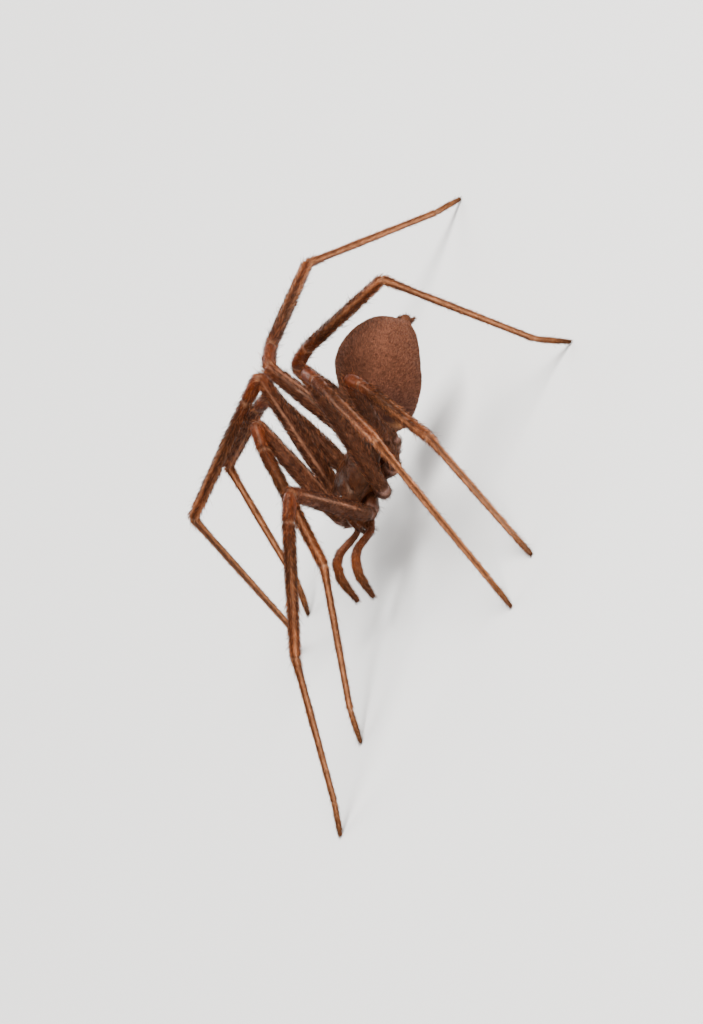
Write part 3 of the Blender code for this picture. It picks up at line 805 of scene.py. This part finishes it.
mouthShape = {
    "solidPointsRound": 12, "palpSlim": 0.86, "cheliceraSlim": 0.95,
    # the mouth's side lobes, its lip and the skin between the fang bases, and their radii, mm
    "endite": ((0.5, -0.78, 2.5), (0.36, -1.2, 2.4), (0.16, -1.6, 2.34)),
    "enditeRadii": (0.15, 0.17, 0.1),
    "labium": ((0, -0.7, 2.5), (0, -1.05, 2.42), (0, -1.36, 2.38)), "labiumRadii": (0.16, 0.17, 0.12),
    "cheliceraRoot": 0.18 * mm, "join": ((0, 0.3, 0.28), (0, 0.02, -0.12)), "joinRadii": (0.2, 0.15),
}
mouthLook = {
    "palp": ((0, 0.1, 0.028, 0.01), (1, 0.08, 0.021, 0.008), (2, 0.1, 0.024, 0.008),
             (3, 0.16, 0.04, 0.012), (4, 0.12, 0.034, 0.011), (5, 0.06, 0.017, 0.007)),
    "chelicera": ((0, 0.1, 0.025, 0.008), (1, 0.07, 0.018, 0.006), (2, 0.035, 0.009, 0.004)),
    "lobe": ((0, 0.14, 0.045, 0.017), (1, 0.11, 0.033, 0.012), (2, 0.2, 0.085, 0.04)),
    "bridge": ((0, 0.05, 0.014, 0.005), (1, 0.04, 0.012, 0.005)),
}


def mouthSurfaces():
    head = bodyMiddle + [0, headLow[1] - bodyMiddle[1], (headLow[2] + headHigh[2]) / 2]
    found, palps, chelicerae, fangs, inner = [], [], [], [], []
    sideways = (1.0, 0, 0)

    def solidRings(name, near, slim):
        rings = ringsOf(name, mouthShape["solidPointsRound"], near)
        widths = [np.abs(ring[:, 0] - ring[:, 0].mean()).max() * slim for ring in rings]
        return np.array([ring.mean(0) for ring in rings]), widths

    def lobe(key, origin, flip, look, gloss):
        corners = origin + np.array(mouthShape[key]) * flip * mm
        radii = np.array(mouthShape[key + "Radii"]) * mm
        found.append(limb(corners, radii, sideways, mouthLook[look], gloss, 18))

    for side, sign in (("left", 1), ("right", -1)):
        centres, widths = solidRings(f"chelicera_{side}", head + [0, 0, mm], mouthShape["cheliceraSlim"])
        root = centres[0] + unit(centres[0] - centres[1]) * mouthShape["cheliceraRoot"]
        girths = (widths[0], widths[1] * 1.06, widths[2] * 1.1)
        chelicerae.append(limb([root, *centres[1:3]], girths, sideways, mouthLook["chelicera"], 0.26, 24,
                               0.2 * mm, 0.04 * mm, 1.1))
        inner.append((centres[0] + centres[1]) / 2)
        fangs.append((centres[2], centres[3], sign))
        corners, widths = solidRings(f"palp_{side}", head + [0, mm, 0], mouthShape["palpSlim"])
        corners[0] += unit(corners[0] - corners[1]) * 0.3 * mm
        widths[-1] *= 1.15
        palps.append(limb(corners, widths, sideways, mouthLook["palp"], 0.38, 22, 0.16 * mm, 0.05 * mm))
        lobe("endite", bodyMiddle, [sign, 1, 1], "lobe", 0.35)
    lobe("join", sum(inner) / 2, 1, "bridge", 0.4)
    lobe("labium", bodyMiddle, 1, "lobe", 0.35)
    return found, palps, chelicerae, fangs


# Coat: every hair is a small closed spike with a bend in it

patchSize = 0.003  # of each hair on the unwrap
floorGap, leastHair = 0.01 * mm, 0.05 * mm


def pick(surface, count, seed, weight):
    # random places on a surface, even by area times a weight: cells are drawn first, then a
    # place inside each, and every grid is read there as the mean of the cell's four corners
    draw = np.random.default_rng(seed)
    points = surface["points"]
    following = np.roll(points, -1, axis=1)
    area = np.linalg.norm(np.cross(points[1:] - points[:-1], following[:-1] - points[:-1]), axis=-1)
    chance = (area * weight[:-1]).ravel()
    cells = draw.choice(len(chance), count, p=chance / chance.sum())
    row, column = np.divmod(cells, points.shape[1])
    other = (column + 1) % points.shape[1]
    f, g = draw.random((2, count))

    def read(grid):
        f1, g1 = (f[:, None], g[:, None]) if grid.ndim == 3 else (f, g)
        near = grid[row, column] * (1 - g1) + grid[row, other] * g1
        far = grid[row + 1, column] * (1 - g1) + grid[row + 1, other] * g1
        return near * (1 - f1) + far * f1

    spot = np.stack([(row + f) / points.shape[0], (column + g) / points.shape[1]], 1)
    return draw, read, spot


def hairs(draw, roots, normals, lies, length, lift, thick, tints, spot, atlas, sway=0.25):
    # Points of many hairs: reach * length along the lie, rise by the sine of the lift and droop
    # back, swayed sideways. Two rings of three points and a tip.
    count = len(roots)
    side = unit(np.cross(lies, normals))
    turn = draw.normal(0, sway, count)[:, None]
    way = unit(lies * np.cos(turn) + side * np.sin(turn))
    side = unit(np.cross(way, normals))
    reach = np.array([0.0, 0.5, 1.0])
    droop = draw.uniform(0.15, 0.5, count)[:, None]
    curl = draw.normal(0, 0.12, count)[:, None]
    flat = (length * np.cos(lift))[:, None] * reach
    rise = (length * np.sin(lift))[:, None] * (reach - droop * reach ** 2) - thick[:, None] * (reach == 0)
    bend = length[:, None] * curl * reach ** 2
    middle = roots[:, None] + way[:, None] * flat[..., None] + normals[:, None] * rise[..., None]
    middle = middle + side[:, None] * bend[..., None]
    angle = np.pi / 2 + np.arange(3) * 2 * np.pi / 3
    wheel = side[:, None] * np.cos(angle)[None, :, None] + normals[:, None] * np.sin(angle)[None, :, None]
    base = middle[:, :1] + wheel * thick[:, None, None]
    waist = middle[:, 1:2] + wheel * thick[:, None, None] * 0.72
    points = np.concatenate([base, waist, middle[:, 2:]], 1)
    points[..., 2] = np.maximum(points[..., 2], 0)
    # each hair darker at its root and lighter at its tip; the lighter tip is partly the hair's paler tip
    # and partly a painted sheen where light catches it
    rootDarkTipSheen = np.array([0.75] * 3 + [1.0] * 3 + [1.2])
    colours = tints[:, None] * rootDarkTipSheen[None, :, None]
    low, high = np.array(atlas[:2]), np.array(atlas[2:])
    home = low + spot * (high - low)
    patch = np.array([[0, 0], [1, 0], [2, 0], [0, 1], [1, 1], [2, 1], [1, 2]]) / 2 - 0.5
    places = home[:, None] + patch * patchSize
    return points, colours, places


def coatObject(name, parts, material):
    # joins many hairs into one mesh with their tint and their patches on the skin's unwrap
    points, colours, places = (np.concatenate(column) for column in zip(*parts))
    count = len(points)
    one = np.array([[0, 1, 2], [0, 3, 4], [0, 4, 1], [1, 4, 5], [1, 5, 2], [2, 5, 3], [2, 3, 0],
                    [3, 6, 4], [4, 6, 5], [5, 6, 3]])
    faces = (one[None] + 7 * np.arange(count)[:, None, None]).reshape(-1, 3)
    points = points.reshape(-1, 3)
    mesh = fillMesh(name, points, *facingOut(points, np.zeros((0, 4), int), faces))
    paint(mesh, colours.reshape(-1, 3))
    loops = np.empty(len(mesh.loops), np.int32)
    mesh.loops.foreach_get("vertex_index", loops)
    layer = mesh.uv_layers.new(name="OFBake")
    layer.uv.foreach_set("vector", places.reshape(-1, 2)[loops].astype(np.float32).ravel())
    mesh.materials.append(material)
    made = placed(name, mesh)
    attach(made, "root")
    print(name, "hairs", count, "triangles", len(faces))


legCoat = {
    # count, length and thickness in mm, lift in degrees: of the fine hairs, and of the bristles
    "kinds": ((8700, (0.16, 0.33), 0.007, (12, 36)), (420, (0.32, 0.58), 0.009, (35, 62))),
    # stage along the leg and how thick the coat stands
    "cover": ((0, 0), (0.6, 0.25), (1, 0.7), (2.1, 1.15), (2.9, 1.0), (3.05, 0.6), (3.2, 0.45),
              (3.5, 0.4), (3.8, 0.45), (3.95, 0.7), (4.15, 1.2), (4.9, 1.1), (5.1, 0.7),
              (6, 0.7), (6.2, 1.3), (7, 1.6)),
    # stage and share of pale hairs
    "pale": ((0, 0.25), (2, 0.22), (3, 0.3), (4.2, 0.25), (5, 0.45), (6, 0.6), (7, 0.5)),
    # stage and size of the hairs
    "fine": ((0, 0.8), (2, 0.8), (2.2, 1), (4.8, 1), (5.2, 0.72), (7, 0.65)),
    # the lighter hairs are brightened partly as painted glints of light on the coat
    "bareLoss": 0.85, "lighter": 2.3, "darker": 0.34, "own": ((0.3, 0.115, 0.045), 0.3),
}


def coatTint(draw, skinTint, paleShare, look):
    # each hair is a lighter or a darker kind of the skin's colour by chance, and the light ones
    # take in a little of a colour of their own; the light ones are partly pale hairs and partly painted
    # glints of light on the coat
    pale = (draw.random(len(skinTint)) < paleShare)[:, None]
    light = mix(skinTint * look["lighter"], *look["own"])
    return np.where(pale, light, skinTint * look["darker"]) * draw.uniform(0.75, 1.25, (len(skinTint), 1))


def coatPart(surface, kind, look, seed, atlas, weight):
    # the hairs of one kind on one surface; pale and fine may change with the stage along a limb
    count, length, thick, lift = kind
    draw, read, spot = pick(surface, count, seed, weight)
    pale, fine = look["pale"], 1
    if "fine" in look:
        pale, fine = (straightTable(look[key], read(surface["stage"])) for key in ("pale", "fine"))
    reach = draw.uniform(*length, count) * mm * fine
    tilt = np.radians(draw.uniform(*lift, count))
    girth = thick * mm * draw.uniform(0.8, 1.2, count) * np.sqrt(fine)
    tints = coatTint(draw, read(surface["tints"]), pale, look)
    roots = read(surface["points"])
    normals, lies = unit(read(surface["normals"])), read(surface["lies"])
    if "fine" not in look:
        lies = squareTo(normals, lies)
    # near the floor a hair may not reach through it
    way = lies * np.cos(tilt)[:, None] + normals * np.sin(tilt)[:, None]
    lowest = roots[:, 2] + reach * np.minimum(0, way[:, 2])
    clear = np.clip((roots[:, 2] - floorGap) / np.maximum(roots[:, 2] - lowest, 1e-9), 0, 1)
    keep = clear * reach > leastHair
    part = [value[keep] for value in (roots, normals, lies, reach * clear, tilt, girth, tints, spot)]
    return hairs(draw, *part, atlas)


abdomenCoat = {
    "hairs": (14500, (0.07, 0.14), 0.007, (16, 42)),
    "pale": 0.45, "lighter": 2.0, "darker": 0.5, "own": ((0.3, 0.125, 0.07), 0.15),
}
bodyCoat = {
    "carapace": (2600, (0.08, 0.2), 0.006, (15, 50)), "palp": (1300, (0.1, 0.22), 0.006, (14, 42)),
    "chelicera": (260, (0.12, 0.3), 0.007, (25, 60)), "rear": (130, (0.08, 0.16), 0.006, (20, 50)),
    "pale": 0.35, "lighter": 2.2, "darker": 0.45, "own": ((0.3, 0.115, 0.045), 0.25),
}


# Eyes, fangs and claws

eyeShape = {"radius": 0.095 * mm, "rise": 0.3, "around": 32, "rows": 20}


def ball(centre, radius, around, rows):
    # a sphere as rings from pole to pole
    lean = np.linspace(0, np.pi, rows + 2)[1:-1, None]
    cos, sin = turns(around)
    level = np.broadcast_to(np.cos(lean), (rows, around))
    return centre + np.stack([np.sin(lean) * cos, np.sin(lean) * sin, level], -1) * radius


def addPiece(name, grids, material, nodes):
    # several closed grids as one piece
    mesh = gridMesh(name, grids)
    mesh.materials.append(material)
    made = placed(name, mesh)
    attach(made, "root")
    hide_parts(*nodes)


def hook(start, way, down, length, radius, curve):
    # a tapering claw on a quarter turn from one way to another
    share = np.linspace(0, 1, 12)[:, None]
    bent = share * curve
    places = start + length / curve * (way * np.sin(bent) + down * (1 - np.cos(bent)))
    hinge = np.cross(way, down)
    thick = radius * (1 - share[:, 0]) ** 0.7 + radius * 0.06
    return tube(places, hinge, thick, 10)["points"]


def makeEyes(material):
    radius = eyeShape["radius"]
    margin = headLow[2] + headShape["depth"] * mm
    for name in ("eyes_front", "eyes_left", "eyes_right"):
        low, high = boxOf(name)
        middle, corner = (low + high) / 2, (high - low) / 2 - radius
        slant = -1 if name == "eyes_right" else 1
        grids = []
        for sign in (-1, 1):
            x = middle[0] + sign * corner[0] * slant
            y = middle[1] + sign * corner[1]
            top = domeTop(np.array((x - bodyMiddle[0]) / mm), np.array((y - bodyMiddle[1]) / mm))
            centre = np.array([x, y, margin + float(top) * mm + radius * eyeShape["rise"]])
            grids.append(ball(centre, radius, eyeShape["around"], eyeShape["rows"]))
        addPiece(name + "_domes", grids, material, [name])


clawShape = {
    "length": 0.15 * mm, "radius": 0.016 * mm, "apart": 0.035 * mm, "sink": 0.04 * mm, "curve": 1.25,
    "rise": 0.15, "splay": 0.25, "least": 0.05 * mm,
}
fangShape = {"radius": 0.055 * mm, "curve": 1.2, "long": 1.25, "sink": 0.05 * mm, "forward": 0.25}


def makeClaws(legs, fangs, material):
    down = np.array([0, 0, -1.0])
    grids = []
    for surface in legs:
        place, way, hinge = surface["tip"]
        forward = unit(unit(way * [1, 1, 0]) + [0, 0, clawShape["rise"]])
        for side in (-1, 1):
            start = place + hinge * clawShape["apart"] * side - way * clawShape["sink"]
            start[2] = max(start[2], clawShape["least"])
            grid = hook(start, unit(forward + hinge * side * clawShape["splay"]), down,
                        clawShape["length"], clawShape["radius"], clawShape["curve"])
            grid[..., 2] = np.maximum(grid[..., 2], 0)
            grids.append(grid)
    addPiece("claws", grids, material, [])
    grids = []
    for base, tip, sign in fangs:
        inward = unit(np.array([-sign * 1.0, -0.15, -0.2]))
        way = unit(down - [0, fangShape["forward"], 0])
        long = np.linalg.norm(tip - base) * fangShape["long"]
        start = base - down * fangShape["sink"]
        grids.append(hook(start, way, inward, long, fangShape["radius"], fangShape["curve"]))
    addPiece("fangs", grids, material, [])


# Floor, light and camera

view = {
    "azimuth": math.radians(73), "elevation": math.radians(20), "roll": math.radians(-65),
    "scale": 25 / mm, "bodyPixel": (428, 508), "size": (703, 1024), "distance": 0.5, "sensor": 36,
    "floor": 1.0, "floorTints": ((0.74, 0.72, 0.69), (0.76, 0.745, 0.72)),
    "sky": (0.94, 0.96, 1.0), "skyStrength": 0.34,
}
# place over the spider, half size and power of each soft light
lights = {
    "key": ((0.14, 0.14, 0.3), 0.11, 4.4), "fill": ((0.34, -0.16, 0.16), 0.08, 0.7),
    "back": ((-0.26, 0.1, 0.22), 0.09, 1.0),
}


def viewAxes():
    # right and up of the picture, and the way to the camera, in the spider's own frame
    azimuth, elevation, roll = (view[key] for key in ("azimuth", "elevation", "roll"))
    back = Vector((math.sin(azimuth) * math.cos(elevation), -math.cos(azimuth) * math.cos(elevation),
                   math.sin(elevation)))
    level = Vector((math.cos(azimuth), math.sin(azimuth), 0))
    above = back.cross(level)
    right = level * math.cos(roll) + above * math.sin(roll)
    up = above * math.cos(roll) - level * math.sin(roll)
    return right, up, back


def makeStudio():
    right, up, back = viewAxes()
    width, height = view["size"]
    u, v = view["bodyPixel"]
    scale = view["scale"]
    middle = Vector(bodyMiddle) + right * ((width / 2 - u) / scale) + up * ((v - height / 2) / scale)
    data = bpy.data.cameras.new("camera")
    camera = placed("camera", data)
    bpy.context.scene.camera = camera
    camera.rotation_mode = "QUATERNION"
    camera.location = middle + back * view["distance"]
    camera.rotation_quaternion = Matrix((right, up, back)).transposed().to_quaternion()
    data.sensor_width = view["sensor"]
    data.lens = view["sensor"] * view["distance"] * scale / height
    data.clip_start, data.clip_end = 0.01, 10
    side = view["floor"]
    mesh = bpy.data.meshes.new("floor")
    corners = [(-side, -side, 0), (side, -side, 0), (side, side, 0), (-side, side, 0)]
    mesh.from_pydata(corners, [], [(0, 1, 2, 3)])
    floor = placed("floor", mesh)
    finish = Finish("paleFloor", {"Roughness": 0.8, "Specular IOR Level": 0.2})
    warm = finish.blend(finish.noise(40), *((*tint, 1) for tint in view["floorTints"]))
    finish.into("Base Color", warm)
    mesh.materials.append(finish.material)
    floor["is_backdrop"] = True
    world = bpy.data.worlds.new("studio")
    world.use_nodes = True
    ground = world.node_tree.nodes["Background"]
    ground.inputs["Color"].default_value = (*view["sky"], 1)
    ground.inputs["Strength"].default_value = view["skyStrength"]
    bpy.context.scene.world = world
    for name, (place, half, power) in lights.items():
        lamp = bpy.data.lights.new(name, "AREA")
        lamp.size = half * 2
        lamp.energy = power
        holder = placed(name, lamp)
        holder.location = place
        holder.rotation_mode = "QUATERNION"
        holder.rotation_quaternion = Vector(place).to_track_quat("Z", "Y")


# The whole spider

def makeSkin(shells):
    # every shell of flesh in one piece
    bpy.ops.object.select_all(action="DESELECT")
    for shell in shells:
        shell.select_set(True)
    bpy.context.view_layer.objects.active = shells[0]
    bpy.ops.object.join()
    skin = shells[0]
    skin.name = "skin"
    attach(skin, "root")
    flesh = [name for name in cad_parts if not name.startswith("eyes")]
    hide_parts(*flesh)
    return skin


shell, velvet = makeSkinMaterial("shell"), makeSkinMaterial("velvet")
hair, eyeDome, claw = makeHair(), makeGlassy("eyeDome"), makeGlassy("claw")
print("materials made")

legs = [legSurface(name) for name in legNames]
head = headSurface()
sections = abdomenSections()
abdomen = abdomenSurface(sections)
rear = rearSurfaces(sections)
lobes, palps, chelicerae, fangs = mouthSurfaces()
hard = [head, *legs, *rear, *lobes, *palps, *chelicerae]
shells = [surfaceObject("shell", surface, shell) for surface in hard]
shells.append(surfaceObject("velvet", abdomen, velvet))
skin = makeSkin(shells)
print("skin made, faces", len(skin.data.polygons))

makeEyes(eyeDome)
makeClaws(legs, fangs, claw)
print("eyes, claws and fangs made")

for side, first in (("left", 0), ("right", 4)):
    for half, pairs in (("fore", (0, 1)), ("hind", (2, 3))):
        parts = []
        for number in (first + pair for pair in pairs):
            leg = legs[number]
            atlas = (number / 10, 0, number / 10 + 0.09, 1)
            cover = straightTable(legCoat["cover"], leg["stage"])
            cover = cover * (1 - legCoat["bareLoss"] * leg["bare"])
            for order, kind in enumerate(legCoat["kinds"]):
                parts.append(coatPart(leg, kind, legCoat, (100 + number) * 10 + order, atlas, cover))
        coatObject(f"coat_legs_{side}_{half}", parts, hair)
cover = np.clip(1.0 - 0.9 * abdomen["plate"], 0, 1) * np.clip(abdomen["shares"] * 12, 0, 1)
for number, half in enumerate(("fore", "hind")):
    onHalf = (abdomen["shares"] > 0.5) == (number == 1)
    part = coatPart(abdomen, abdomenCoat["hairs"], abdomenCoat, 7 + number * 2, (0.8, 0, 0.89, 0.6),
                    cover * onHalf)
    coatObject(f"coat_abdomen_{half}", [part], hair)
cover = head["top"] * 0.9 + 0.1
parts = [coatPart(head, bodyCoat["carapace"], bodyCoat, 8, (0.9, 0, 0.99, 0.4), cover)]
# surfaces, their coat, first seed, place on the unwrap and height of each there, and where hair stands
coated = (
    (palps, "palp", 20, (0.9, 0.4, 0.1), lambda stage: np.clip(stage, 0.1, 3)),
    (chelicerae, "chelicera", 30, (0.8, 0.6, 0.1), lambda stage: stage + 0.1),
    (rear[1:], "rear", 40, (0.9, 0.6, 0.04), np.ones_like),
)
for surfaces, kind, seed, (column, row, tall), weight in coated:
    for number, surface in enumerate(surfaces):
        low = row + number * tall
        atlas = (column, low, column + 0.09, low + tall - 0.01)
        cover = weight(surface["stage"])
        parts.append(coatPart(surface, bodyCoat[kind], bodyCoat, seed + number, atlas, cover))
coatObject("coat_body", parts, hair)
print("coat made")

makeStudio()
low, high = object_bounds()
print("studio made")
